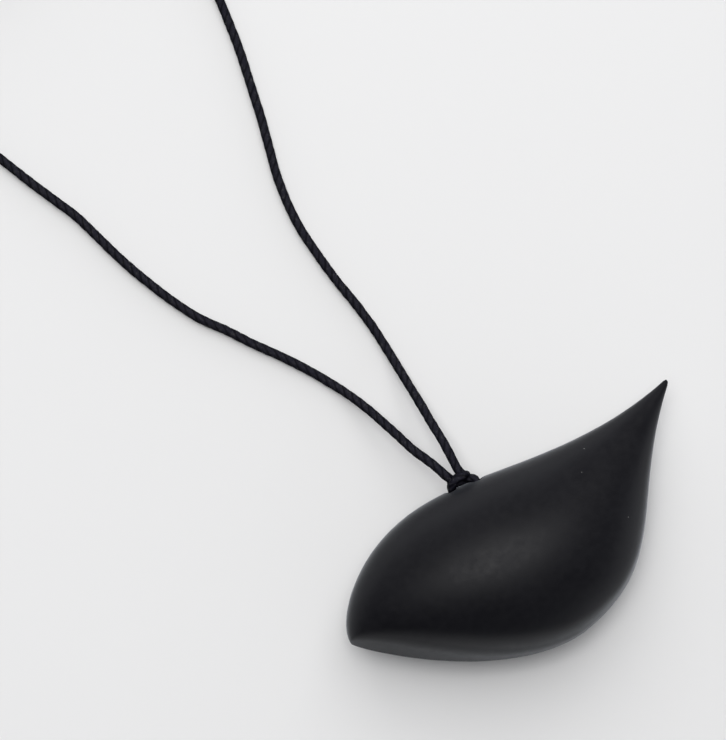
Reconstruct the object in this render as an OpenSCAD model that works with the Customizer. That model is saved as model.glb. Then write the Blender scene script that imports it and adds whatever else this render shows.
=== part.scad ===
// Pendant ocarina: a hollow leaf-shaped vessel flute on a neck cord.
// It lies on its rear face. +X runs from the beak to the tail, +Y towards the back where the cord is
// hitched, and +Z out of the plain front face. The origin is under the middle of the body.

/* [Body] */
// Length from the beak to the tip of the tail
body_l = 65; // [62:0.5:68]
// Width across the belly and the back
body_w = 32; // [31:0.5:34]
// Thickness at the middle, before the rear face is rubbed flat
body_t = 19; // [18:0.5:21]
// Wall of the two shells
wall = 2.6; // [2.4:0.1:2.8]
// Depth rubbed off the rear face, so that the body lies still
rest_flat = 0.3; // [0.2:0.05:0.4]

/* [Mouth and window] */
// Width of the windway
windway_w = 4.6; // [4.2:0.1:5]
// Height of the windway
windway_h = 1; // [0.8:0.1:1.2]
// Length of the windway from the beak to the window
windway_l = 12.5; // [12:0.1:13]
// Length of the window from the windway to the labium
window_l = 4.5; // [4:0.1:5]
// Width of the block that is set above the windway
block_w = 7; // [6.6:0.1:7.4]

/* [Finger holes] */
// Diameter of the hole for the left middle finger
hole_1_d = 5.5; // [5:0.1:5.8]
// Diameter of the hole for the left index finger
hole_2_d = 4.5; // [4:0.1:5.2]
// Diameter of the hole for the right middle finger
hole_3_d = 5; // [4.5:0.1:5.4]
// Diameter of the hole for the right index finger
hole_4_d = 4; // [3.5:0.1:4.6]

/* [Cord] */
// Diameter of the neck cord
cord_d = 1.5; // [1.3:0.1:1.6]
// Diameter of a turn of the stored cord, at the middle of the coil
coil_d = 16.5; // [16:0.5:18]
// Width of the coil's band of turns
coil_band = 5.5; // [5:0.5:6]

/* [Hidden] */

half_l = body_l / 2;
half_w = body_w / 2;
half_t = body_t / 2;
// Height of the seam between the two shells
seam_z = half_t - rest_flat;

// Outline as curves of four points each, in half lengths and half widths. The back runs from the beak
// over the crown to a point just past the tail, where it meets the belly.
back_edge = [
    [[-1, 0.37], [-1, 0.59], [-0.75, 1], [-0.43, 1]],
    [[-0.43, 1], [0, 1], [0.4, 0.33], [1.04, 0.43]]
];
belly_edge = [
    [[-1, 0.37], [-1, 0.3], [-0.52, -1], [-0.06, -1]],
    [[-0.06, -1], [0.47, -1], [0.5, -0.23], [1.04, 0.43]]
];
// Side view, in half lengths and half thicknesses
side_edge = [
    [[-1, 0], [-1, 0.42], [-0.7, 1], [-0.12, 1]],
    [[-0.12, 1], [0.34, 1], [0.62, 0.32], [1.04, 0]]
];
// The tail ends in a small ball of this radius
tip_r = 0.4;

// Stations along the body, and points across each section of a shell
stations = 36;
across = 20;
// Facet beside the belly edge: its rise at the beak, and how fast it steepens along the body
facet_rise = 1.05;
facet_run = 18;

// Air chamber: its two ends along the body
chamber_start = -21.5 / 32.5 * half_l;
chamber_end = 20 / 32.5 * half_l;
// The wall is thicker round the cord tunnel, so that the tunnel stays out of the chamber
boss_depth = 2.4;
boss_reach = 5;

// Cord tunnel: where it is along the body, the radius of its bend, and the slot's size
tunnel_x = -2.8 / 32.5 * half_l;
tunnel_r = 2.2;
tunnel_gap = 0.4;

// Windway: it enters under the beak, turned towards the belly and sloping down to the rear face
mouth_y = 0.4 * half_w;
mouth_drop = 0.8;
windway_turn = -11;
windway_slope = 19;
// The block starts this far inside the beak
block_start = 5;
// The labium edge lies this far below the roof of the windway, and its ramp has this slope
labium_drop = 0.5;
ramp_l = 5;
ramp_slope = 29;

// Finger holes: place on the rear face and diameter
finger_holes = [
    [-9, 7.5, hole_1_d], [8.5, 4, hole_2_d],
    [-4, -9.5, hole_3_d], [9, -8, hole_4_d]
];

// Neck cord: both strands, from the hitch down to the surface and along it to the coil
right_route = [
    [-2, 16.5, 9.2], [-1.5, 19, 9], [-1, 21.5, 8.5], [-0.5, 25, 7], [0, 28, 5.5],
    [0.5, 31.5, 3.5], [1, 35, 2], [1.5, 38.5, 1], [2, 43, 0.75], [2.2, 47.5, 0.75],
    [2.2, 52, 0.75], [2.5, 57, 0.75], [3, 62, 0.75], [4, 66.5, 0.75], [5.5, 71, 0.75],
    [7.5, 75.5, 0.75], [9.5, 80, 0.75], [11.5, 85, 0.75], [13.5, 90, 0.75], [15, 94.5, 0.75],
    [16.5, 99.5, 0.75], [17.5, 105, 0.75], [16, 110, 0.75], [12, 114.5, 0.75],
    [6.5, 118.5, 0.75], [0.5, 121.5, 0.75], [-5.5, 123.5, 0.75], [-12, 126, 1.5], [-18, 129.5, 3]
];
left_route = [
    [-4, 16.5, 9.2], [-4.5, 19.5, 9], [-5.5, 23.5, 7.5], [-6, 27, 6], [-7, 33, 3],
    [-8, 37, 1.5], [-9, 40, 0.75], [-10.5, 44, 0.75], [-12.5, 48.5, 0.75], [-14.5, 52.5, 0.75],
    [-16.5, 57, 0.75], [-18.5, 61, 0.75], [-20, 65.5, 0.75], [-21, 69.5, 0.75], [-22, 74.5, 0.75],
    [-22.5, 78, 0.75], [-23, 82.5, 0.75], [-23.5, 86.5, 0.75], [-24.5, 90.5, 0.75],
    [-25.5, 94.5, 0.75], [-26.5, 99, 0.75], [-27.5, 104, 0.75], [-28, 109.5, 0.75],
    [-27.5, 115.5, 0.75], [-26.5, 121.5, 0.75], [-25, 127.5, 0.75], [-24, 132.5, 0.75],
    [-23.5, 136.5, 0.75]
];
// Hitch over the bridge of the tunnel: along the rim, out from it, and up from the seam
hitch_in = [[0.2, 2.3, 0.1], [0.5, 1.6, 0.4], [1.1, 0.95, 0.75], [1.8, 0.7, 0.75]];
hitch_band = [
    [-2.35, 0.7, 1], [-2.1, 1.4, 1.7], [-1.1, 1.7, 2.1], [0.2, 1.8, 2.2],
    [1.5, 2, 1.7], [2.1, 2.2, 0], [1.5, 2, -1.7], [0.2, 1.8, -2.2],
    [-1.1, 1.7, -2.1], [-2.1, 1.4, -1.7], [-2.35, 0.7, -1]
];
hitch_out = [[1.8, 0.7, -0.75], [0.9, 0.9, -0.75], [-0.4, 0.9, -0.6], [-1.2, 1.2, -0.2], [-1.7, 1.75, 0]];
// The hitch is drawn a little thin, so that its turns stay clear of each other
hitch_d = 0.8 * cord_d;
coil_at = [-12, 139];
coil_h = 2 * cord_d;
knot_r = 2.8;
knot_at = [-2, 148.5];
tail_l = 6;
// The tails leave the knot this far to each side of its middle line, and slope down this far
tail_turn = 26;
tail_slope = 10;

// ---- Curves ----

function bezier(p, t) = pow(1 - t, 3) * p[0] + 3 * pow(1 - t, 2) * t * p[1]
    + 3 * (1 - t) * t * t * p[2] + pow(t, 3) * p[3];

// Where along a curve its first coordinate is u, by halving
function curve_t(p, u, lo = 0, hi = 1, n = 20) =
    n == 0 ? (lo + hi) / 2
    : bezier(p, (lo + hi) / 2)[0] < u ? curve_t(p, u, (lo + hi) / 2, hi, n - 1)
    : curve_t(p, u, lo, (lo + hi) / 2, n - 1);

// Second coordinate of an edge of two curves at u
function edge_at(edge, u) =
    let (p = u < edge[0][3][0] ? edge[0] : edge[1]) bezier(p, curve_t(p, u))[1];

function back_y(x) = half_w * edge_at(back_edge, x / half_l);
function belly_y(x) = half_w * edge_at(belly_edge, x / half_l);
function side_z(x) = half_t * edge_at(side_edge, x / half_l);

// Smaller of a and b, with the corner between them rounded over this share of it
function soft_min(a, b, share) =
    let (low = min(a, b), k = max(share * low, 0.001)) low - pow(max(k - abs(a - b), 0), 2) / (4 * k);

// ---- Shells ----

// Station x from one end to the other, closer together towards both ends
function station_x(i, x0, x1) = (x0 + x1) / 2 - (x1 - x0) / 2 * cos(180 * i / stations);

// Height of the front face beside the belly edge
function facet_z(x, y) =
    facet_rise * (1 + pow((x + half_l) / facet_run, 2)) * (y - belly_y(x));

// Largest half width or half thickness that the ball at the tip of the tail allows at x
function tip_limit(x) =
    let (past = x - half_l + tip_r) past > 0 ? sqrt(max(tip_r * tip_r - past * past, 0)) : body_w;

// Outer section at x: points from the belly edge over the dome to the back edge
function outer_section(x, faceted) =
    let (mid = (back_y(x) + belly_y(x)) / 2, w = min((back_y(x) - belly_y(x)) / 2, tip_limit(x)))
    let (h = min(side_z(x), tip_limit(x)), soft = min(0.2 + (x + half_l) / 30, 1))
    [for (j = [0:across]) let (a = 180 * j / across, y = mid - w * cos(a), dome = h * sin(a))
        [x, y, faceted && j > 0 && j < across ? soft_min(dome, facet_z(x, y), soft) : dome]];

function boss(x) = boss_depth * exp(-pow((x - tunnel_x) / boss_reach, 2));

// Section of the air chamber at x, which closes in a round end at each end of the chamber
function chamber_section(x) =
    let (s = (2 * x - chamber_start - chamber_end) / (chamber_end - chamber_start))
    let (close = sqrt(max(1 - pow(s, 4), 0)), side = 1.15 * wall)
    let (y0 = belly_y(x) + side, y1 = back_y(x) - side - boss(x), h = side_z(x) - wall)
    let (mid = (y0 + y1) / 2, w = close * (y1 - y0) / 2)
    [for (j = [0:across]) let (a = 180 * j / across) [x, mid - w * cos(a), close * h * sin(a)]];

// Closed skin of a shell: outer dome, chamber, and the flat seam between them, with up as +1 or -1
module shell_skin(up, faceted) {
    ring = across + 1;
    inner = (stations - 1) * ring;
    outer_rings = [for (i = [1:stations - 1]) outer_section(station_x(i, -half_l, half_l), faceted)];
    inner_rings = [for (i = [1:stations - 1]) chamber_section(station_x(i, chamber_start, chamber_end))];
    poles = [
        outer_section(-half_l, false)[0], outer_section(half_l, false)[0],
        chamber_section(chamber_start)[0], chamber_section(chamber_end)[0]
    ];
    points = [for (r = concat(outer_rings, inner_rings, [poles])) for (p = r) [p[0], p[1], up * p[2]]];
    last = stations - 2;
    pole = 2 * inner;
    cells = [for (i = [0:last - 1]) for (j = [0:across - 1]) i * ring + j];
    faces = concat(
        [for (c = cells) each [[c, c + ring, c + ring + 1], [c, c + ring + 1, c + 1]]],
        [for (c = cells) each [[inner + c, inner + c + ring + 1, inner + c + ring],
                               [inner + c, inner + c + 1, inner + c + ring + 1]]],
        [for (j = [0:across - 1]) each [
            [pole, j, j + 1], [pole + 1, last * ring + j + 1, last * ring + j],
            [pole + 2, inner + j + 1, inner + j],
            [pole + 3, inner + last * ring + j, inner + last * ring + j + 1]]],
        [for (i = [0:last - 1]) let (a = i * ring, b = a + across) each [
            [a, inner + a, inner + a + ring], [a, inner + a + ring, a + ring],
            [b, inner + b + ring, inner + b], [b, b + ring, inner + b + ring]]],
        let (a = last * ring, b = a + across) [
            [pole, pole + 2, inner], [pole, inner, 0],
            [pole, across, inner + across], [pole, inner + across, pole + 2],
            [pole + 1, a, inner + a], [pole + 1, inner + a, pole + 3],
            [pole + 1, pole + 3, inner + b], [pole + 1, inner + b, b]]
    );
    turned = [for (f = faces) up > 0 ? [f[2], f[1], f[0]] : f];
    translate([0, 0, seam_z]) polyhedron(points = points, faces = turned, convexity = 6);
}

// Frame of the cord tunnel: its middle is on the rim, x along the rim and y out of it
module at_tunnel() {
    rim = atan2(back_y(tunnel_x + 1) - back_y(tunnel_x - 1), 2);
    translate([tunnel_x, back_y(tunnel_x), seam_z]) rotate([0, 0, rim]) children();
}

// Half a ring under the bridge, wide enough for two cords one above the other
module cord_tunnel() {
    slot_w = cord_d + tunnel_gap;
    slot_h = 2 * cord_d + tunnel_gap;
    at_tunnel() rotate([0, 0, 175]) rotate_extrude(angle = 190, $fn = 48)
        translate([tunnel_r - slot_w / 2, -slot_h / 2]) square([slot_w, slot_h]);
}

// Frame of the windway: x runs in from the beak, z up from its roof
module at_windway() {
    translate([-half_l, mouth_y, seam_z - mouth_drop])
        rotate([0, 0, windway_turn]) rotate([0, windway_slope, 0]) children();
}

// Block with the windway under it, as long as given, with its top level with the seam
module block_space(length) {
    intersection() {
        at_windway() translate([block_start, -block_w / 2, 0]) cube([length, block_w, body_t]);
        translate([-body_l, -body_w, 0]) cube([2 * body_l, 2 * body_w, seam_z]);
    }
}

// Channel from the mouth to the window, open at the top where the block closes it
module windway_channel() {
    at_windway() translate([0, windway_w / 2, 0]) rotate([90, 0, 0])
        linear_extrude(windway_w) polygon([
            [-1, -windway_h], [windway_l + 1, -windway_h], [windway_l + 1, 1],
            [block_start, 1], [block_start, 0], [-1, 0]
        ]);
}

// Window through the rear face, with the ramp that leaves the labium edge
module window_cut() {
    edge = windway_l + window_l;
    at_windway() translate([0, (windway_w + 0.4) / 2, 0]) rotate([90, 0, 0])
        linear_extrude(windway_w + 0.4) polygon([
            [windway_l, -half_t], [windway_l, 1], [edge, 1], [edge, -labium_drop],
            [edge + ramp_l, -labium_drop - ramp_l * tan(ramp_slope)], [edge + ramp_l, -half_t]
        ]);
}

// Room behind the labium edge, open to the chamber: in line with the windway, then rising to the wall
module labium_undercut() {
    bend = windway_l + window_l + 1.5;
    at_windway() translate([0, (windway_w + 0.4) / 2, 0]) rotate([90, 0, 0])
        linear_extrude(windway_w + 0.4) polygon([
            [windway_l - 0.5, -labium_drop], [bend, -labium_drop],
            [bend + 3, 3 - labium_drop], [bend + 3, half_t / 2],
            [windway_l - 0.5, half_t / 2]
        ]);
}

module front_shell() {
    color([0.05, 0.05, 0.055])
    difference() {
        shell_skin(1, true);
        cord_tunnel();
    }
}

module rear_shell() {
    color([0.06, 0.06, 0.065])
    difference() {
        shell_skin(-1, false);
        cord_tunnel();
        block_space(windway_l - block_start + 1);
        windway_channel();
        window_cut();
        labium_undercut();
        for (h = finger_holes) translate([h[0], h[1], -1]) cylinder(h = seam_z, d = h[2], $fn = 48);
        translate([-half_l, -half_w, -body_t]) cube([body_l, body_w, body_t]);
    }
}

module windway_block() {
    color([0.09, 0.09, 0.1]) block_space(windway_l - block_start);
}

// ---- Cord ----

function unit(v) = v / norm(v);

// Direction of a route at each of its points
function headings(route) =
    let (n = len(route) - 1)
    [for (i = [0:n]) unit(route[min(i + 1, n)] - route[max(i - 1, 0)])];

// A side vector at each point, carried along the route without twisting
function sides(dirs) =
    [for (i = 0, s = unit(cross(dirs[0], [0, 0, 1])); i < len(dirs);
        i = i + 1, s = i < len(dirs) ? unit(s - dirs[i] * (dirs[i] * s)) : s) s];

// Round cord along a route, with flat ends
module cord(route, d, n = 8) {
    dirs = headings(route);
    side = sides(dirs);
    last = len(route) - 1;
    points = [for (i = [0:last]) for (j = [0:n - 1])
        route[i] + d / 2 * (cos(360 * j / n) * side[i] + sin(360 * j / n) * cross(dirs[i], side[i]))];
    walls = [for (i = [0:last - 1]) for (j = [0:n - 1])
        let (a = i * n + j, b = i * n + (j + 1) % n) each [[a, a + n, b + n], [a, b + n, b]]];
    ends = [[for (j = [0:n - 1]) j], [for (j = [n - 1:-1:0]) last * n + j]];
    polyhedron(points = points, faces = concat(walls, ends), convexity = 10);
}

// Points round the tunnel from its right mouth to its left mouth, z above the seam
function tunnel_route(z, from, to) =
    [for (i = [0:3]) let (a = from + (to - from) * i / 3) [tunnel_r * cos(a), tunnel_r * sin(a), z]];

module cord_hitch() {
    z = cord_d / 2;
    route = concat(hitch_in, tunnel_route(z, 0, -180), hitch_band, tunnel_route(-z, -180, 0), hitch_out);
    color([0.08, 0.08, 0.09]) at_tunnel() cord(route, hitch_d);
}

module cord_strand_left() {
    color([0.05, 0.05, 0.07]) cord(left_route, cord_d);
}

module cord_strand_right() {
    color([0.05, 0.05, 0.07]) cord(right_route, cord_d);
}

// One neat coil, two layers of turns high, standing on z
module coil(z) {
    flat = coil_band - coil_h;
    translate([coil_at[0], coil_at[1], z + coil_h / 2]) rotate_extrude($fn = 64) {
        translate([coil_d / 2, 0]) square([flat, coil_h], center = true);
        for (s = [-1, 1]) translate([coil_d / 2 + s * flat / 2, 0]) circle(d = coil_h, $fn = 32);
    }
}

module cord_coil_left() {
    color([0.05, 0.05, 0.07]) coil(0);
}

module cord_coil_right() {
    color([0.06, 0.06, 0.08]) coil(coil_h);
}

// Knot that ties the two ends together, and the two short tails beyond it
module cord_end_knot() {
    color([0.08, 0.08, 0.09]) {
        translate([knot_at[0], knot_at[1], knot_r]) sphere(knot_r, $fn = 32);
        for (turn = [-tail_turn, tail_turn])
            translate([knot_at[0], knot_at[1], 0.8 * knot_r]) rotate([0, 90 + tail_slope, turn])
            translate([0, 0, 0.75 * knot_r]) cylinder(h = tail_l, d = cord_d, $fn = 24);
    }
}

front_shell();
rear_shell();
windway_block();
cord_hitch();
cord_strand_left();
cord_strand_right();
cord_coil_left();
cord_coil_right();
cord_end_knot();
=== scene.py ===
import math

import bpy
import numpy as np
from mathutils import Matrix, Vector, noise


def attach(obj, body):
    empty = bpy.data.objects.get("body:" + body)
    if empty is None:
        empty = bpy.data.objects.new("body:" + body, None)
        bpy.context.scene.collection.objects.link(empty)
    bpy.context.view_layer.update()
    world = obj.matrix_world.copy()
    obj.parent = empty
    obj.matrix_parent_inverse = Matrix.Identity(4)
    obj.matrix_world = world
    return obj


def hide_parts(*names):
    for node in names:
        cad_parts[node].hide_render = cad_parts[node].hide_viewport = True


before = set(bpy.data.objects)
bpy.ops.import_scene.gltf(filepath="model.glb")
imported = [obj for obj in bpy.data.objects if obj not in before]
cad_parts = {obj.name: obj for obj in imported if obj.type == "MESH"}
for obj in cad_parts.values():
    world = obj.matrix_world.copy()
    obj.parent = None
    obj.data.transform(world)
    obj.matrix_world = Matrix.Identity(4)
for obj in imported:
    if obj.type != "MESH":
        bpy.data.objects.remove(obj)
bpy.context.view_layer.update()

# A pendant ocarina on its neck cord. Lengths are in millimetres up to mesh_object, which makes metres.
MM = 0.001

# ---- Sizes, which repeat the part's own ----

half_l = 32.5
half_w = 16.0
half_t = 9.5
wall = 2.6
seam_z = 9.2
tip_r = 0.4
# Facet beside the belly edge: its slope at the beak, how soon it steepens, and how its crease softens
facet_rise = 1.05
facet_run = 18.0
crease_soft = 0.2
crease_run = 30.0
# Air chamber, and the thicker wall inside the cord tunnel
chamber_start = -21.5
chamber_end = 20.0
boss_depth = 2.4
boss_reach = 5.0
# Cord tunnel: half a ring in from the back edge, and the width and height of its slot
tunnel_x = -2.8
tunnel_r = 2.2
tunnel_slot = (1.9, 3.4)
# Windway from its mouth in the beak, the block over it, and the window with its sharp edge and ramp
windway_w = 4.6
windway_h = 1.0
windway_l = 12.5
window_l = 4.5
block_w = 7.0
block_start = 5.0
mouth_y = 6.4
mouth_drop = 0.8
windway_turn = -11.0
windway_slope = 19.0
labium_drop = 0.5
ramp_l = 5.0
ramp_slope = 29.0
# Place and diameter of each finger hole
finger_holes = [(-9, 7.5, 5.5), (8.5, 4, 4.5), (-4, -9.5, 5), (9, -8, 4)]
# Three pale specks on the front, and how strong each is
specks = [(15.4, 6.6, 0.5), (13.9, -6, 0.35), (12.7, 4.1, 0.25)]
cord_d = 1.5
coil_at = (-12.0, 139.0)
knot_at = (-2.0, 148.5)

# Outline as curves of four points each, in half lengths and half widths or thicknesses
back_edge = [
    [(-1, 0.37), (-1, 0.59), (-0.75, 1), (-0.43, 1)],
    [(-0.43, 1), (0, 1), (0.4, 0.33), (1.04, 0.43)],
]
belly_edge = [
    [(-1, 0.37), (-1, 0.3), (-0.52, -1), (-0.06, -1)],
    [(-0.06, -1), (0.47, -1), (0.5, -0.23), (1.04, 0.43)],
]
side_edge = [
    [(-1, 0), (-1, 0.42), (-0.7, 1), (-0.12, 1)],
    [(-0.12, 1), (0.34, 1), (0.62, 0.32), (1.04, 0)],
]

# Both strands of the cord, from the hitch to the coil
right_route = [
    (-2, 16.5, 9.2), (-1.5, 19, 9), (-1, 21.5, 8.5), (-0.5, 25, 7), (0, 28, 5.5),
    (0.5, 31.5, 3.5), (1, 35, 2), (1.5, 38.5, 1), (2, 43, 0.75), (2.2, 47.5, 0.75),
    (2.2, 52, 0.75), (2.5, 57, 0.75), (3, 62, 0.75), (4, 66.5, 0.75), (5.5, 71, 0.75),
    (7.5, 75.5, 0.75), (9.5, 80, 0.75), (11.5, 85, 0.75), (13.5, 90, 0.75), (15, 94.5, 0.75),
    (16.5, 99.5, 0.75), (17.5, 105, 0.75), (16, 110, 0.75), (12, 114.5, 0.75),
    (6.5, 118.5, 0.75), (0.5, 121.5, 0.75), (-5.5, 123.5, 0.75), (-12, 126, 1.5), (-18, 129.5, 3),
]
left_route = [
    (-4, 16.5, 9.2), (-4.5, 19.5, 9), (-5.5, 23.5, 7.5), (-6, 27, 6), (-7, 33, 3),
    (-8, 37, 1.5), (-9, 40, 0.75), (-10.5, 44, 0.75), (-12.5, 48.5, 0.75), (-14.5, 52.5, 0.75),
    (-16.5, 57, 0.75), (-18.5, 61, 0.75), (-20, 65.5, 0.75), (-21, 69.5, 0.75), (-22, 74.5, 0.75),
    (-22.5, 78, 0.75), (-23, 82.5, 0.75), (-23.5, 86.5, 0.75), (-24.5, 90.5, 0.75),
    (-25.5, 94.5, 0.75), (-26.5, 99, 0.75), (-27.5, 104, 0.75), (-28, 109.5, 0.75),
    (-27.5, 115.5, 0.75), (-26.5, 121.5, 0.75), (-25, 127.5, 0.75), (-24, 132.5, 0.75),
    (-23.5, 136.5, 0.75),
]
# From the coil through the end knot to the tip of each tail
right_end = [(-8.6, 149.4, 4.7), (-6.4, 149.4, 3.2), (-4.6, 149.25, 2.3), (-1.5, 149.3, 2.25),
             (1.4, 149.9, 1.7), (3.4, 151, 0.9), (5, 152.1, 0.76)]
left_end = [(-8.4, 148.6, 2.25), (-4.8, 147.75, 2.25), (-1.5, 147.7, 2.25),
            (1.4, 147.1, 1.7), (3.4, 146, 0.9), (5.2, 145, 0.76)]
# Hitch in the tunnel's frame: along the rim, out from it, and up from the seam
hitch_in = [(0.2, 2.3, 0), (0.35, 1.75, 0.15), (0.6, 1.2, 0.35), (1.05, 0.78, 0.6),
            (1.55, 0.42, 0.75), (2, 0.05, 0.76)]
hitch_band = [(-2, 0.1, 0.85), (-1.85, 0.42, 1.3), (-1.4, 0.9, 1.75), (-0.8, 1.2, 1.9),
              (0.05, 1.4, 1.85), (0.65, 1.38, 1.45), (0.98, 1.25, 0.6), (0.95, 1.2, -0.5),
              (0.6, 1.25, -1.4), (-0.1, 1.35, -1.9), (-0.8, 1.25, -1.95), (-1.5, 0.95, -1.75),
              (-1.9, 0.45, -1.3), (-2, 0.1, -0.85)]
hitch_out = [(2, 0.05, -0.76), (1.5, 0.42, -0.76), (0.9, 0.55, -0.76), (0, 0.55, -0.74),
             (-0.85, 0.42, -0.7), (-1.4, 0.8, -0.55), (-1.75, 1.5, -0.15)]
# Where the strands start, inside the hitch and in the same frame
right_start = (0.6, 1.2, 0.35)
left_start = (-1.3, 1.1, -0.4)


# ---- Meshes ----

def mesh_object(name, points, faces):
    """A new object from points in millimetres."""
    mesh = bpy.data.meshes.new(name)
    mesh.from_pydata((np.asarray(points, float) * MM).tolist(), [], [tuple(map(int, f)) for f in faces])
    mesh.validate()
    made = bpy.data.objects.new(name, mesh)
    bpy.context.scene.collection.objects.link(made)
    return made


def grid_faces(rows, columns, closed=False, first=0):
    """Faces between rows of points, each row joined to itself when closed."""
    across = columns if closed else columns - 1
    return [
        (first + i * columns + j, first + i * columns + (j + 1) % columns,
         first + (i + 1) * columns + (j + 1) % columns, first + (i + 1) * columns + j)
        for i in range(rows - 1) for j in range(across)
    ]


def smooth_by_angle(made, degrees):
    """Smooth shading, with a sharp line at each edge that turns more than this."""
    made.data.shade_smooth()
    made.data.set_sharp_from_angle(angle=math.radians(degrees))


def cut(made, *cutters):
    """Takes the cutters out of the object, and removes them."""
    for cutter in cutters:
        change = made.modifiers.new("cut", "BOOLEAN")
        change.operation = "DIFFERENCE"
        change.solver = "EXACT"
        change.object = cutter
        shown = made.evaluated_get(bpy.context.evaluated_depsgraph_get())
        mesh = bpy.data.meshes.new_from_object(shown)
        made.modifiers.clear()
        old = made.data
        made.data = mesh
        bpy.data.meshes.remove(old)
        bpy.data.objects.remove(cutter)
    made.data.name = made.name


# ---- Curves ----

def bezier(p, t):
    """Points of a curve with four control points, at each share t of the way along it."""
    p = np.asarray(p, float)
    t = np.asarray(t, float)[:, None]
    return (1 - t) ** 3 * p[0] + 3 * (1 - t) ** 2 * t * p[1] + 3 * (1 - t) * t * t * p[2] + t ** 3 * p[3]


def edge_at(edge, u):
    """Second coordinate of an edge of two curves at each u."""
    u = np.atleast_1d(np.asarray(u, float))
    found = np.zeros_like(u)
    first = u < edge[0][3][0]
    for part, inside in ((edge[0], first), (edge[1], ~first)):
        low, high = np.zeros(inside.sum()), np.ones(inside.sum())
        for _ in range(40):
            middle = (low + high) / 2
            before = bezier(part, middle)[:, 0] < u[inside]
            low, high = np.where(before, middle, low), np.where(before, high, middle)
        found[inside] = bezier(part, (low + high) / 2)[:, 1]
    return found


def back_y(x):
    """Back edge of the outline at each x."""
    return half_w * edge_at(back_edge, np.asarray(x) / half_l)


def belly_y(x):
    """Belly edge of the outline at each x."""
    return half_w * edge_at(belly_edge, np.asarray(x) / half_l)


def side_z(x):
    """Greatest height of the dome over the seam at each x."""
    return half_t * edge_at(side_edge, np.asarray(x) / half_l)


def smooth_path(points, step):
    """Points about step apart along a smooth curve through the given ones."""
    p = np.asarray(points, float)
    p = np.vstack([2 * p[0] - p[1], p, 2 * p[-1] - p[-2]])
    gaps = np.sqrt(np.linalg.norm(np.diff(p, axis=0), axis=1))
    knots = np.concatenate([[0], np.cumsum(gaps)])
    fine = []
    for i in range(1, len(p) - 2):
        t0, t1, t2, t3 = knots[i - 1:i + 3]
        t = np.linspace(t1, t2, 24, endpoint=False)[:, None]
        a1 = (t1 - t) / (t1 - t0) * p[i - 1] + (t - t0) / (t1 - t0) * p[i]
        a2 = (t2 - t) / (t2 - t1) * p[i] + (t - t1) / (t2 - t1) * p[i + 1]
        a3 = (t3 - t) / (t3 - t2) * p[i + 1] + (t - t2) / (t3 - t2) * p[i + 2]
        b1 = (t2 - t) / (t2 - t0) * a1 + (t - t0) / (t2 - t0) * a2
        b2 = (t3 - t) / (t3 - t1) * a2 + (t - t1) / (t3 - t1) * a3
        fine.append((t2 - t) / (t2 - t1) * b1 + (t - t1) / (t2 - t1) * b2)
    fine = np.vstack(fine + [p[-2:-1]])
    along = np.concatenate([[0], np.cumsum(np.linalg.norm(np.diff(fine, axis=0), axis=1))])
    at = np.linspace(0, along[-1], max(2, round(along[-1] / step)) + 1)
    return np.stack([np.interp(at, along, fine[:, k]) for k in range(3)], axis=1)


def path_frames(path):
    """Heading and two side directions at each point, carried along without twisting."""
    ahead = np.gradient(path, axis=0)
    ahead /= np.linalg.norm(ahead, axis=1)[:, None]
    side = np.zeros_like(ahead)
    start = np.cross(ahead[0], (0, 0, 1))
    side[0] = start / np.linalg.norm(start)
    for i in range(1, len(path)):
        s = side[i - 1] - ahead[i] * (ahead[i] @ side[i - 1])
        side[i] = s / np.linalg.norm(s)
    return ahead, side, np.cross(ahead, side)


# ---- Cord ----

ply_pitch = 5.4
ring_step = 0.3
ply_points = 6
# Slow swelling of the cord and short lumps of its plies: how long, and how strong in shares of the radius
swell_size = 3.1
swell_share = 0.04
lump_size = 0.9
lump_share = 0.05
# Width of the cut tips, and the least height over the table
tip_share = 0.8
table_gap = 0.01


def ply_outline():
    """Radius, as a share of the cord's, at points round three plies laid together."""
    offset, ply = 0.1, 0.9
    a = np.radians(120 * np.arange(ply_points) / ply_points - 60)
    r = offset * np.cos(a) + np.sqrt(ply ** 2 - (offset * np.sin(a)) ** 2)
    return np.tile(r / (offset + ply), 3)


def rope(name, points, radius, seed, step=ring_step):
    """A three-ply cord along a smooth curve through the points. Returns the piece and its middle line.

    Its UV map has the length along it in millimetres, and the share of a turn round it.
    """
    path = smooth_path(points, step)
    ahead, side, up = path_frames(path)
    along = np.arange(len(path)) * np.linalg.norm(path[1] - path[0])
    outline = ply_outline()
    n = len(outline)
    turn = 2 * np.pi * (along[:, None] / ply_pitch + np.arange(n)[None, :] / n)
    swell = np.array([noise.noise(Vector((s / swell_size, seed, 0.5))) for s in along])
    lumps = np.array([
        [noise.noise(Vector((s / lump_size, seed + 7.3, 3 * j / n))) for j in range(n)] for s in along
    ])
    r = radius * outline[None, :] * (1 + swell_share * swell[:, None] + lump_share * lumps)
    r[[0, -1]] *= tip_share
    ring = path[:, None, :] + r[..., None] * (
        np.cos(turn)[..., None] * side[:, None, :] + np.sin(turn)[..., None] * up[:, None, :])
    ring[..., 2] = np.maximum(ring[..., 2], table_gap)
    points = ring.reshape(-1, 3)
    last = (len(path) - 1) * n
    faces = grid_faces(len(path), n, closed=True)
    faces += [tuple(range(n - 1, -1, -1)), tuple(range(last, last + n))]
    made = mesh_object(name, points, faces)
    layer = made.data.uv_layers.new(name="lay")
    i, j = np.divmod(np.arange((len(path) - 1) * n), n)
    uv = np.zeros((len(made.data.loops), 2), np.float32)
    uv[:4 * len(i), 0] = along[np.stack([i, i, i + 1, i + 1], axis=1)].ravel()
    uv[:4 * len(i), 1] = np.stack([j, j + 1, j + 1, j], axis=1).ravel() / n
    layer.data.foreach_set("uv", uv.ravel())
    made.data.shade_smooth()
    return made, path


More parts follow.
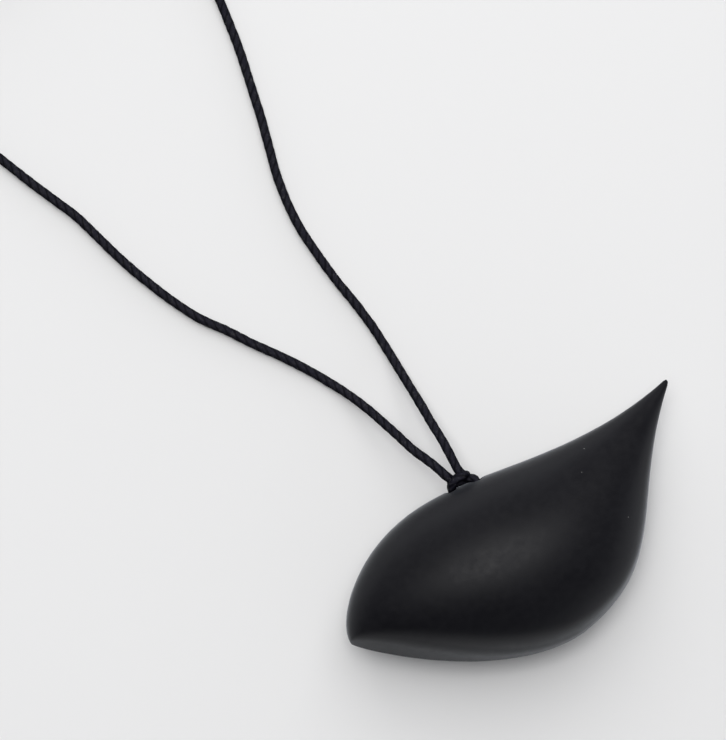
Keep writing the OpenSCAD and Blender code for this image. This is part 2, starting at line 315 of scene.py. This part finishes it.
def coil(start_angle, end_angle, turns, low_z, entry_r):
    """Turns of a neat coil, clockwise: in along one layer, up, and out along the next.

    Angles are in degrees, and the strand comes in at entry_r.
    """
    angle_step, climb, entry, outer = 15, 120, 60, 10.2
    total = start_angle - end_angle + 360 * turns
    steps = round(total / angle_step)
    half = (total - climb) / 2
    found = []
    for i in range(1, steps):
        gone = total * i / steps
        inward = min(gone, half) / 360 - max(gone - half - climb, 0) / 360
        r = outer - cord_d * inward + (entry_r - outer) * max(1 - gone / entry, 0) ** 2
        lift = min(max((gone - half) / climb, 0), 1)
        a = math.radians(start_angle - gone)
        z = low_z + cord_d * (3 * lift ** 2 - 2 * lift ** 3)
        found.append((coil_at[0] + r * math.cos(a), coil_at[1] + r * math.sin(a), z))
    return found


def tunnel_frame():
    """From the tunnel's frame, with x along the rim and y out of it, to the part's."""
    rise = back_y([tunnel_x + 1])[0] - back_y([tunnel_x - 1])[0]
    place = Matrix.Translation((tunnel_x, back_y([tunnel_x])[0], seam_z))
    return place @ Matrix.Rotation(math.atan2(rise, 2), 4, "Z")


def placed(matrix, points):
    """The points moved by a matrix."""
    m = np.array(matrix, float)
    return np.asarray(points, float) @ m[:3, :3].T + m[:3, 3]


def round_tunnel(z, start, end):
    """Through the tunnel, drawn a little tight round the bridge."""
    a = np.radians(np.linspace(start, end, 7))
    tight_r = tunnel_r - 0.15
    return [(tight_r * math.cos(b), tight_r * math.sin(b), z) for b in a]


left_turns = coil(192.3, 90, turns=5, low_z=cord_d / 2, entry_r=11.77)
right_turns = coil(237.7, 90, turns=4, low_z=2.5 * cord_d, entry_r=11.2)
right_first, left_first = placed(tunnel_frame(), [right_start, left_start]).tolist()
left_points = [left_first] + left_route + left_turns + left_end
right_points = [right_first] + right_route + right_turns + right_end
left_strand, left_path = rope("left_strand", left_points, cord_d / 2, seed=1.0)
right_strand, right_path = rope("right_strand", right_points, cord_d / 2, seed=5.0)

hitch_route = (hitch_in + round_tunnel(cord_d / 2, -12, -168) + hitch_band
               + round_tunnel(-cord_d / 2, -168, -12) + hitch_out)
# The cord is pulled a little thinner in the hitch and the knot, and bends tighter there
hitch_r = 0.7
wrap_r = 0.74
knot_step = 0.2
hitch, _ = rope("hitch", placed(tunnel_frame(), hitch_route), hitch_r, seed=9.0, step=knot_step)


def knot_wraps():
    """Three wraps round the two cords of the end knot, with their ends tucked in."""
    turns, pitch, turn_points = 3.1, 1.45, 16
    wide, high, middle_z = 2.2, 1.5, 2.24
    first_x = knot_at[0] - 2.2
    first_angle = 0.6
    last = round(turns * turn_points)
    found = []
    for i in range(last + 1):
        a = 2 * math.pi * i / turn_points + first_angle
        tuck = min(1, 0.55 + 0.45 * min(i, last - i) / 3)
        y = knot_at[1] + wide * tuck * math.cos(a)
        found.append((first_x + pitch * i / turn_points, y, middle_z + high * tuck * math.sin(a)))
    return found


end_knot, _ = rope("end_knot", knot_wraps(), wrap_r, seed=13.0, step=knot_step)

# ---- Shells ----

# Steps along a shell, and over its dome from one edge to the other
stations = 170
across = 72


def soft_min(a, b, share):
    """Smaller of a and b, with the corner between them rounded over this share of it."""
    low = np.minimum(a, b)
    k = np.maximum(share * low, 0.001)
    return low - np.maximum(k - np.abs(a - b), 0) ** 2 / (4 * k)


def station_x(start, end):
    """Places from one end to the other, closer together towards both ends, without the ends."""
    i = np.arange(1, stations)
    return (start + end) / 2 - (end - start) / 2 * np.cos(np.pi * i / stations)


def tip_limit(x):
    """Half width that the rounded tail tip leaves at each x."""
    past = x - half_l + tip_r
    return np.where(past > 0, np.sqrt(np.maximum(tip_r ** 2 - past ** 2, 0)), 2 * half_w)


def outer_rings(x, faceted):
    """Sections of the outside at each x, from the belly edge over the dome to the back edge."""
    a = np.linspace(0, np.pi, across + 1)[None, :]
    mid = (back_y(x) + belly_y(x)) / 2
    w = np.minimum((back_y(x) - belly_y(x)) / 2, tip_limit(x))
    h = np.minimum(side_z(x), tip_limit(x))
    y = mid[:, None] - w[:, None] * np.cos(a)
    z = h[:, None] * np.sin(a)
    if faceted:
        rise = facet_rise * (1 + ((x + half_l) / facet_run) ** 2)
        facet = rise[:, None] * (y - belly_y(x)[:, None])
        soft = np.minimum(crease_soft + (x + half_l) / crease_run, 1)[:, None]
        z[:, 1:-1] = soft_min(z, facet, soft)[:, 1:-1]
    z[:, 0] = 0
    z[:, -1] = 0
    return np.stack([np.broadcast_to(x[:, None], y.shape), y, z], axis=2)


def chamber_rings(x):
    """Sections of the air chamber, which closes in a round end at each end."""
    a = np.linspace(0, np.pi, across + 1)[None, :]
    s = (2 * x - chamber_start - chamber_end) / (chamber_end - chamber_start)
    close = np.sqrt(np.maximum(1 - s ** 4, 0))
    boss = boss_depth * np.exp(-((x - tunnel_x) / boss_reach) ** 2)
    side_wall = 1.15 * wall
    y0 = belly_y(x) + side_wall
    y1 = back_y(x) - side_wall - boss
    mid, w, h = (y0 + y1) / 2, close * (y1 - y0) / 2, close * (side_z(x) - wall)
    y = mid[:, None] - w[:, None] * np.cos(a)
    z = h[:, None] * np.sin(a)
    z[:, [0, -1]] = 0
    return np.stack([np.broadcast_to(x[:, None], y.shape), y, z], axis=2)


def hand_waves(points):
    """Slight hand-made unevenness of the outside, which is the same on both shells at the seam.

    It fades out sideways towards y = 0, and in height towards the seam.
    """
    deep, broad, fine = 0.03, 7.0, 2.6
    moved = points.copy()
    flat = moved.reshape(-1, 3)
    for i, p in enumerate(points.reshape(-1, 3)):
        wave = noise.noise(Vector(p) / broad) + 0.4 * noise.noise(Vector(p) / fine + Vector((9, 3, 5)))
        outward = 1 if p[1] >= 0 else -1
        flat[i, 1] += deep * wave * outward * min(abs(p[1]) / 8, 1)
        flat[i, 2] += deep * wave * min(p[2] / 4, 1)
    return moved


def shell(name, up, faceted):
    """Closed skin of a shell: outer dome, chamber, and the flat seam between them. Up is 1 or -1."""
    columns = across + 1
    outer = hand_waves(outer_rings(station_x(-half_l, half_l), faceted))
    inner = chamber_rings(station_x(chamber_start, chamber_end))
    ends = np.array([-half_l, half_l, chamber_start, chamber_end])
    pole_y = (back_y(ends) + belly_y(ends)) / 2
    pole_y[2:] = chamber_rings(ends[2:])[:, 0, 1]
    poles = np.stack([ends, pole_y, np.zeros(4)], axis=1)
    points = np.vstack([outer.reshape(-1, 3), inner.reshape(-1, 3), poles])
    rows = stations - 1
    first = rows * columns
    pole = 2 * first
    last = (rows - 1) * columns
    faces = grid_faces(rows, columns)
    faces += [f[::-1] for f in grid_faces(rows, columns, first=first)]
    for j in range(across):
        faces += [(pole, j + 1, j), (pole + 1, last + j, last + j + 1)]
        faces += [(pole + 2, first + j, first + j + 1), (pole + 3, first + last + j + 1, first + last + j)]
    for i in range(rows - 1):
        a, b = i * columns, i * columns + across
        faces += [(a, a + columns, first + a + columns, first + a)]
        faces += [(b, first + b, first + b + columns, b + columns)]
    b = last + across
    faces += [(pole, 0, first, pole + 2), (pole, pole + 2, first + across, across)]
    faces += [(pole + 1, pole + 3, first + last, last), (pole + 1, b, first + b, pole + 3)]
    points[:, 2] = seam_z + up * points[:, 2]
    if up < 0:
        faces = [f[::-1] for f in faces]
    return mesh_object(name, points, faces)


def prism(name, outline, width, matrix):
    """A polygon in the xz plane of a frame, drawn out to both sides of it."""
    n = len(outline)
    points = [(x, s * width / 2, z) for s in (-1, 1) for x, z in outline]
    faces = [tuple(range(n)), tuple(range(2 * n - 1, n - 1, -1))]
    faces += [(j, j + n, (j + 1) % n + n, (j + 1) % n) for j in range(n)]
    return mesh_object(name, placed(matrix, points), faces)


def turned_solid(name, profile, matrix, sides=96):
    """A closed solid turned from (radius, height) points, from the lowest up, with flat ends."""
    a = 2 * np.pi * np.arange(sides) / sides
    points = [(r * math.cos(b), r * math.sin(b), z) for r, z in profile for b in a]
    faces = grid_faces(len(profile), sides, closed=True)
    last = (len(profile) - 1) * sides
    faces += [tuple(range(sides - 1, -1, -1)), tuple(range(last, last + sides))]
    return mesh_object(name, placed(matrix, points), faces)


def tunnel_cutter():
    """Half a ring under the bridge, with a slot that has round corners."""
    w, h = tunnel_slot[0] / 2, tunnel_slot[1] / 2
    corner = 0.7
    section = []
    for k, (sx, sz) in enumerate(((1, 1), (-1, 1), (-1, -1), (1, -1))):
        for a in np.radians(np.linspace(90 * k, 90 * k + 90, 7)):
            r = sx * (w - corner) + corner * math.cos(a)
            section.append((r, sz * (h - corner) + corner * math.sin(a)))
    # A little more than half a turn, so that both ends come out past the back edge
    start, end, steps = 172, 368, 50
    rows = []
    for b in np.radians(np.linspace(start, end, steps)):
        rows += [((tunnel_r + r) * math.cos(b), (tunnel_r + r) * math.sin(b), z) for r, z in section]
    n = len(section)
    last = len(rows) - n
    faces = [f[::-1] for f in grid_faces(steps, n, closed=True)]
    faces += [tuple(range(n)), tuple(range(last + n - 1, last - 1, -1))]
    return mesh_object("tunnel_cutter", placed(tunnel_frame(), rows), faces)


def windway_frame():
    """From the windway's frame, with x in from the beak and z up from its roof, to the part's."""
    place = Matrix.Translation((-half_l, mouth_y, seam_z - mouth_drop))
    turn = Matrix.Rotation(math.radians(windway_turn), 4, "Z")
    return place @ turn @ Matrix.Rotation(math.radians(windway_slope), 4, "Y")


def windway_cutters():
    """The block's pocket, the air channel, the window with its ramp, and the hollow inside its edge."""
    at = windway_frame()
    edge = windway_l + window_l
    bend = edge + 1.5
    slit = windway_w + 0.4
    ramp_drop = labium_drop + ramp_l * math.tan(math.radians(ramp_slope))
    pocket_end = windway_l + 1
    pocket_top = 12
    pocket = [(block_start, 0), (pocket_end, 0), (pocket_end, pocket_top), (block_start, pocket_top)]
    channel = [(-1, -windway_h), (pocket_end, -windway_h), (pocket_end, 1), (block_start, 1),
               (block_start, 0), (-1, 0)]
    window = [(windway_l, -half_t), (edge + ramp_l, -half_t), (edge + ramp_l, -ramp_drop),
              (edge, -labium_drop), (edge, 1), (windway_l, 1)]
    undercut = [(windway_l - 0.5, -labium_drop), (bend, -labium_drop), (bend + 3, 3 - labium_drop),
                (bend + 3, half_t / 2), (windway_l - 0.5, half_t / 2)]
    return [
        prism("pocket", pocket, block_w, at), prism("channel", channel, windway_w, at),
        prism("window", window, slit, at), prism("undercut", undercut, slit, at),
    ]


def dome_height(x, y):
    """Height of the plain dome above the seam, which is its depth below it on the rear face."""
    back, belly = back_y([x])[0], belly_y([x])[0]
    across_share = (2 * y - back - belly) / (back - belly)
    return side_z([x])[0] * math.sqrt(max(1 - across_share ** 2, 0))


def rear_normal(x, y):
    """Outward direction of the rear face over a place."""
    step = 0.05
    slope_x = (dome_height(x - step, y) - dome_height(x + step, y)) / (2 * step)
    slope_y = (dome_height(x, y - step) - dome_height(x, y + step)) / (2 * step)
    return Vector((slope_x, slope_y, -1)).normalized()


def finger_cutters():
    """A straight hole and a shallow dish round its mouth for each finger."""
    made = []
    hole_end = seam_z - 1.2
    margin, deep = 0.75, 0.42
    for i, (x, y, d) in enumerate(finger_holes):
        hole = [(d / 2, -1), (d / 2, hole_end)]
        made.append(turned_solid(f"hole_{i}", hole, Matrix.Translation((x, y, 0))))
        normal = rear_normal(x, y)
        rim = d / 2 + margin
        ball = (rim ** 2 + deep ** 2) / (2 * deep)
        centre = Vector((x, y, seam_z - dome_height(x, y))) + normal * (ball - deep)
        turn = normal.to_track_quat("-Z", "Y").to_matrix().to_4x4()
        a = np.radians(np.linspace(-89, 0, 80))
        dish = [(ball * math.cos(b), ball * math.sin(b)) for b in a]
        made.append(turned_solid(f"dish_{i}", dish, Matrix.Translation(centre) @ turn, sides=120))
    return made


def box_cutter(low, high):
    """A box between two opposite corners."""
    corners = [(x, y, z) for x in (low[0], high[0]) for y in (low[1], high[1]) for z in (low[2], high[2])]
    faces = [(0, 1, 3, 2), (4, 6, 7, 5), (0, 4, 5, 1), (2, 3, 7, 6), (0, 2, 6, 4), (1, 5, 7, 3)]
    return mesh_object("box_cutter", corners, faces)


front_shell = shell("show_shell", up=1, faceted=True)
cut(front_shell, tunnel_cutter())
rear_shell = shell("player_shell", up=-1, faceted=False)
# The box takes off what would be below the table, which leaves the small flat that the body lies on
cut(rear_shell, tunnel_cutter(), *windway_cutters(), *finger_cutters(),
    box_cutter((-half_l, -half_w, -2 * half_t), (half_l, half_w, 0)))
for part in (front_shell, rear_shell):
    smooth_by_angle(part, 32)

# The block stands just clear of its pocket's floor, and is cut level with the seam
block_low, block_high = 0.02, 4
block_side = [(block_start, block_low), (windway_l, block_low), (windway_l, block_high),
              (block_start, block_high)]
block = prism("fipple_block", block_side, block_w, windway_frame())
cut(block, box_cutter((-2 * half_l, -2 * half_w, seam_z), (2 * half_l, 2 * half_w, seam_z + half_t)))


# ---- Materials ----

# The colour mix node's sockets go by number, because its other types use the same names
mix_factor = 0
mix_a = 6
mix_b = 7
mixed = 2


class Nodes:
    """Short calls for building one material's nodes."""

    def __init__(self, name):
        self.material = bpy.data.materials.new(name)
        self.material.use_nodes = True
        self.tree = self.material.node_tree
        self.tree.nodes.clear()
        self.output = self.tree.nodes.new("ShaderNodeOutputMaterial")
        self.shader = self.tree.nodes.new("ShaderNodeBsdfPrincipled")
        self.link(self.shader, "BSDF", self.output, "Surface")

    def link(self, a, out, b, into):
        self.tree.links.new(a.outputs[out], b.inputs[into])

    def add(self, kind, **values):
        node = self.tree.nodes.new(kind)
        for key, value in values.items():
            setattr(node, key, value)
        return node

    def object_place(self, scale=(1, 1, 1)):
        """The place in the part's frame in metres, stretched by scale."""
        place = self.add("ShaderNodeTexCoord")
        mapping = self.add("ShaderNodeMapping")
        mapping.inputs["Scale"].default_value = scale
        self.link(place, "Object", mapping, "Vector")
        return mapping

    def noise(self, place, scale, detail=3.0, roughness=0.5):
        """Noise with about scale bumps to each unit of the place."""
        made = self.add("ShaderNodeTexNoise")
        made.inputs["Scale"].default_value = scale
        made.inputs["Detail"].default_value = detail
        made.inputs["Roughness"].default_value = roughness
        self.link(place, "Vector", made, "Vector")
        return made

    def range(self, source, out, low, high, to_low, to_high):
        """A value taken from one range to another, and held at its ends."""
        made = self.add("ShaderNodeMapRange")
        for key, value in zip(("From Min", "From Max", "To Min", "To Max"), (low, high, to_low, to_high)):
            made.inputs[key].default_value = value
        self.link(source, out, made, "Value")
        return made

    def mix(self, factor, out, a, b):
        """A colour between a and b, each a colour or a (node, output) pair."""
        made = self.add("ShaderNodeMix", data_type="RGBA")
        self.link(factor, out, made, mix_factor)
        for slot, value in ((mix_a, a), (mix_b, b)):
            if isinstance(value[0], (int, float)):
                made.inputs[slot].default_value = (*value, 1)
            else:
                self.link(*value, made, slot)
        return made

    def bump(self, heights):
        """Bumps one on top of another, from (node, output, strength, distance in millimetres)."""
        before = None
        for node, out, strength, distance in heights:
            made = self.add("ShaderNodeBump")
            made.inputs["Strength"].default_value = strength
            made.inputs["Distance"].default_value = distance * MM
            self.link(node, out, made, "Height")
            if before is not None:
                self.link(before, "Normal", made, "Normal")
            before = made
        self.link(before, "Normal", self.shader, "Normal")


def burnished_black():
    """Burnished black clay: satin, slightly mottled, with three pale specks on the front."""
    m = Nodes("burnished_black")
    place = m.object_place()
    cloud = m.noise(place, 110, 4, 0.55)
    mottle = m.noise(place, 900, 3, 0.6)
    grain = m.noise(place, 4200, 2, 0.6)
    dark, less_dark, worn = (0.0026, 0.0025, 0.0039), (0.0042, 0.0041, 0.0059), (0.0068, 0.0067, 0.0084)
    broad = m.mix(m.range(cloud, "Fac", 0.3, 0.7, 0, 1), "Result", dark, less_dark)
    colour = m.mix(m.range(mottle, "Fac", 0.4, 0.7, 0, 0.4), "Result", (broad, mixed), worn)
    speck_inner, speck_outer, speck_colour = 0.05, 0.12, (0.3, 0.3, 0.29)
    for x, y, strength in specks:
        centre = Vector((x, y, seam_z + dome_height(x, y))) * MM
        gap = m.add("ShaderNodeVectorMath", operation="DISTANCE")
        gap.inputs[1].default_value = centre
        m.link(place, "Vector", gap, 0)
        dot = m.range(gap, "Value", speck_inner * MM, speck_outer * MM, strength, 0)
        colour = m.mix(dot, "Result", (colour, mixed), speck_colour)
    m.link(colour, mixed, m.shader, "Base Color")
    rough = m.range(mottle, "Fac", 0.3, 0.75, 0.4, 0.5)
    m.link(rough, "Result", m.shader, "Roughness")
    m.shader.inputs["IOR"].default_value = 1.5
    m.shader.inputs["Specular IOR Level"].default_value = 0.18
    m.shader.inputs["Sheen Weight"].default_value = 0.3
    m.shader.inputs["Sheen Roughness"].default_value = 0.35
    m.shader.inputs["Sheen Tint"].default_value = (0.86, 0.92, 1, 1)
    strokes = m.noise(m.object_place((0.22, 1, 1)), 1500, 3, 0.6)
    m.bump([(mottle, "Fac", 0.14, 0.03), (strokes, "Fac", 0.14, 0.025), (grain, "Fac", 0.18, 0.02)])
    return m.material


def waxed_cotton():
    """Black waxed cotton: fibres, lint, painted shade between its plies, and painted light on its top."""
    m = Nodes("waxed_cotton")
    uv = m.add("ShaderNodeUVMap", uv_map="lay")
    mapping = m.add("ShaderNodeMapping")
    mapping.inputs["Scale"].default_value = (1.4, 26, 1)
    m.link(uv, "UV", mapping, "Vector")
    fibres = m.noise(mapping, 1.0, 4, 0.65)
    place = m.object_place()
    lint = m.noise(place, 2300, 3, 0.7)
    around = m.add("ShaderNodeSeparateXYZ")
    m.link(uv, "UV", around, "Vector")
    thirds = m.add("ShaderNodeMath", operation="MULTIPLY")
    thirds.inputs[1].default_value = 3
    m.link(around, "Y", thirds, 0)
    ply = m.add("ShaderNodeMath", operation="PINGPONG")
    ply.inputs[1].default_value = 0.5
    m.link(thirds, "Value", ply, 0)
    # Painted light and shade: the colour goes lighter where the cord faces up and darker where it faces
    # down
    geometry = m.add("ShaderNodeNewGeometry")
    facing = m.add("ShaderNodeSeparateXYZ")
    m.link(geometry, "Normal", facing, "Vector")
    painted_top_light = m.range(facing, "Z", 0.5, 1, 0, 1)
    thread = m.range(fibres, "Fac", 0.3, 0.75, 0, 1)
    # under is the painted shade of the downward side, over the painted light of the upper side
    under = m.mix(thread, "Result", (0.001, 0.001, 0.003), (0.005, 0.005, 0.01))
    over = m.mix(thread, "Result", (0.006, 0.006, 0.01), (0.026, 0.025, 0.034))
    shade = m.mix(painted_top_light, "Result", (under, mixed), (over, mixed))
    worn = m.mix(m.range(lint, "Fac", 0.53, 0.72, 0, 0.75), "Result", (shade, mixed), (0.05, 0.049, 0.05))
    # Painted shade: the grooves between the plies are darkened almost to black
    laid = m.mix(m.range(ply, "Value", 0.02, 0.2, 0.8, 0), "Result", (worn, mixed), (0.001, 0.001, 0.002))
    m.link(laid, mixed, m.shader, "Base Color")
    m.link(m.range(fibres, "Fac", 0.3, 0.8, 0.5, 0.72), "Result", m.shader, "Roughness")
    m.shader.inputs["Specular IOR Level"].default_value = 0.03
    m.bump([(m.range(ply, "Value", 0, 0.4, 0, 1), "Result", 0.5, 0.1), (fibres, "Fac", 0.5, 0.1),
            (lint, "Fac", 0.3, 0.05)])
    return m.material


def matt_black():
    """The block's unburnished clay."""
    m = Nodes("matt_black")
    place = m.object_place()
    grain = m.noise(place, 2200, 4, 0.6)
    colour = m.mix(grain, "Fac", (0.012, 0.012, 0.012), (0.04, 0.038, 0.036))
    m.link(colour, mixed, m.shader, "Base Color")
    m.link(m.range(grain, "Fac", 0.3, 0.7, 0.6, 0.85), "Result", m.shader, "Roughness")
    m.bump([(grain, "Fac", 0.4, 0.06)])
    return m.material


def pale_floor():
    """A plain matt table, with a barely seen haze."""
    m = Nodes("pale_floor")
    place = m.object_place()
    haze = m.noise(place, 12, 2, 0.5)
    colour = m.mix(haze, "Fac", (0.752, 0.748, 0.744), (0.762, 0.758, 0.754))
    m.link(colour, mixed, m.shader, "Base Color")
    m.shader.inputs["Roughness"].default_value = 0.8
    m.shader.inputs["Specular IOR Level"].default_value = 0.18
    return m.material


black_clay, black_cord, block_clay = burnished_black(), waxed_cotton(), matt_black()
for piece, look, slot, nodes in (
    (front_shell, black_clay, "shell", ["front_shell"]),
    (rear_shell, black_clay, "shell", ["rear_shell"]),
    (block, block_clay, "block", ["windway_block"]),
    (hitch, black_cord, "cord", ["cord_hitch"]),
    (left_strand, black_cord, "cord", ["cord_strand_left", "cord_coil_left"]),
    (right_strand, black_cord, "cord", ["cord_strand_right", "cord_coil_right"]),
    (end_knot, black_cord, "cord", ["cord_end_knot"]),
):
    piece.data.materials.clear()
    piece.data.materials.append(look)
    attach(piece, "root")
    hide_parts(*nodes)


# ---- Floor, light and camera ----

floor_reach = 3000
floor_corners = [(x * floor_reach, y * floor_reach, 0) for x, y in ((-1, -1), (1, -1), (1, 1), (-1, 1))]
floor = mesh_object("floor", floor_corners, [(0, 1, 2, 3)])
floor.data.materials.append(pale_floor())

# The camera looks straight down. Its picture is turned by view_turn, and is view_span wide at the seam.
view_turn = math.radians(-39.4)
view_over = (-3.6, 38.2)
view_height = 659.2
view_span = 116.9

camera = bpy.data.objects.new("camera", bpy.data.cameras.new("camera"))
camera.location = (view_over[0] * MM, view_over[1] * MM, view_height * MM)
camera.rotation_euler = (0, 0, view_turn)
camera.data.lens = camera.data.sensor_width * (view_height - seam_z) / view_span
camera.data.clip_start, camera.data.clip_end = 0.01, 20
bpy.context.scene.collection.objects.link(camera)
bpy.context.scene.camera = camera


def soft_light(name, across, watts, right, up, height, mirrored=True):
    """A square light, placed right and up in the picture from the body, and turned towards it.

    One that isn't mirrored lights surfaces without a reflection of its own.
    """
    data = bpy.data.lights.new(name, "AREA")
    data.shape = "SQUARE"
    data.size = across * MM
    data.energy = watts
    light = bpy.data.objects.new(name, data)
    place = Matrix.Rotation(view_turn, 4, "Z") @ Vector((right, up, height))
    light.location = place * MM
    light.rotation_euler = (-place).to_track_quat("-Z", "Y").to_euler()
    light.visible_glossy = mirrored
    bpy.context.scene.collection.objects.link(light)


soft_light("overhead_light", across=440, watts=5.2, right=-85, up=150, height=1100)
soft_light("window_light", across=1300, watts=12, right=0, up=850, height=1000, mirrored=False)
soft_light("left_light", across=900, watts=1.2, right=-750, up=750, height=450)


def studio_world():
    """Soft light from all round, brightest low down past the picture's top, a little to the right."""
    world = bpy.data.worlds.new("world")
    world.use_nodes = True
    tree = world.node_tree
    shade = tree.nodes["Background"]
    shade.inputs["Color"].default_value = (0.93, 0.95, 1, 1)
    place = tree.nodes.new("ShaderNodeTexCoord")
    split = tree.nodes.new("ShaderNodeSeparateXYZ")
    toward = tree.nodes.new("ShaderNodeVectorMath")
    toward.operation = "DOT_PRODUCT"
    toward.inputs[1].default_value = Matrix.Rotation(view_turn, 3, "Z") @ Vector((0.5, 0.87, 0))
    rise = tree.nodes.new("ShaderNodeMapRange")
    side = tree.nodes.new("ShaderNodeMapRange")
    for node, values in ((rise, (0.08, 0.45, 1.38, 0.18)), (side, (-1, 1, 0.2, 1.8))):
        for key, value in zip(("From Min", "From Max", "To Min", "To Max"), values):
            node.inputs[key].default_value = value
    strength = tree.nodes.new("ShaderNodeMath")
    strength.operation = "MULTIPLY"
    tree.links.new(place.outputs["Generated"], split.inputs["Vector"])
    tree.links.new(place.outputs["Generated"], toward.inputs[0])
    tree.links.new(split.outputs["Z"], rise.inputs["Value"])
    tree.links.new(toward.outputs["Value"], side.inputs["Value"])
    tree.links.new(rise.outputs["Result"], strength.inputs[0])
    tree.links.new(side.outputs["Result"], strength.inputs[1])
    tree.links.new(strength.outputs["Value"], shade.inputs["Strength"])
    return world


bpy.context.scene.world = studio_world()
bpy.context.scene.view_settings.view_transform = "Standard"
